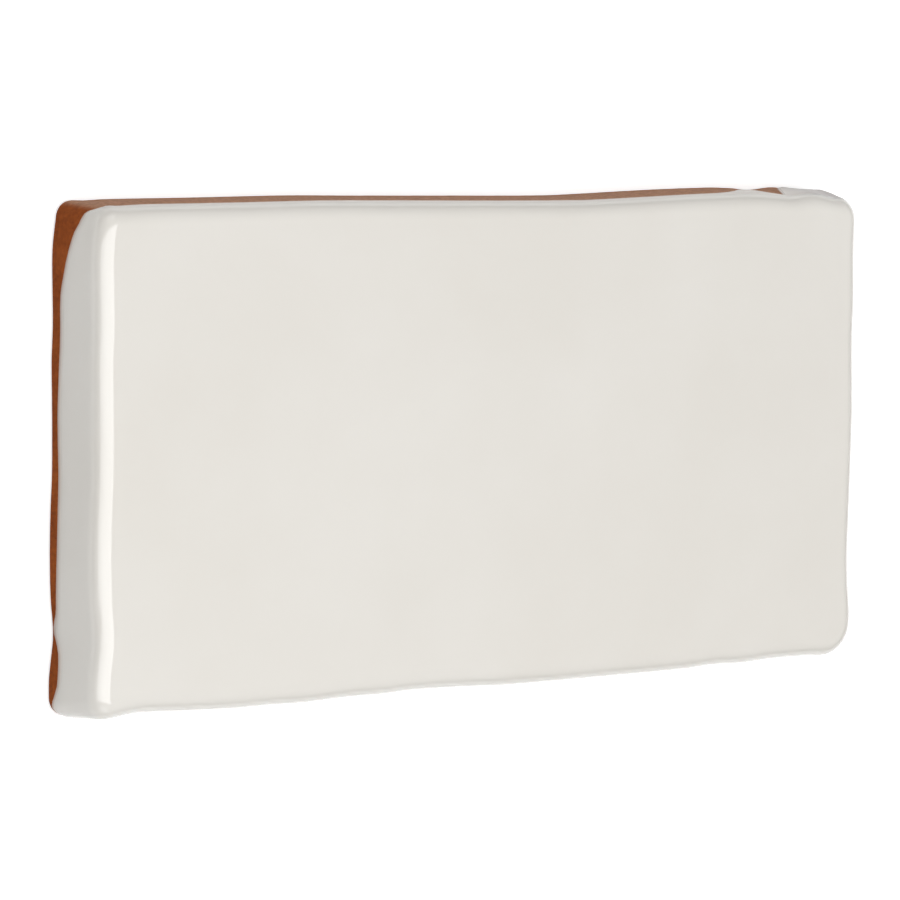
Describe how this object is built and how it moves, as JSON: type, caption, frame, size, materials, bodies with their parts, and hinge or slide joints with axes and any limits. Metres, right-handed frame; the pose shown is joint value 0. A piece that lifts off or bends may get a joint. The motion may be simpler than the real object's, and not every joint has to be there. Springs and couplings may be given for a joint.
{
  "type": "wall tile",
  "caption": "Handmade half-format wall tile: a wavy-edged terracotta body, flat on the back, with a thick glossy ivory glaze over its face and down its sides to a wandering edge.",
  "frame": {"origin": "middle of the flat back, on the floor that the tile lies on", "axes": "+X along the length, towards the right-hand end of the picture; +Y across the width, towards the top edge of the picture; +Z out of the glazed face"},
  "size_m": [0.1303, 0.0654, 0.01],
  "materials": {
    "clay": "fired terracotta, matt and grainy",
    "glaze": "glossy ivory glaze, slightly uneven"
  },
  "bodies": {
    "root": {"clay_body": "clay", "glaze_coat": "glaze"}
  },
  "joints": []
}
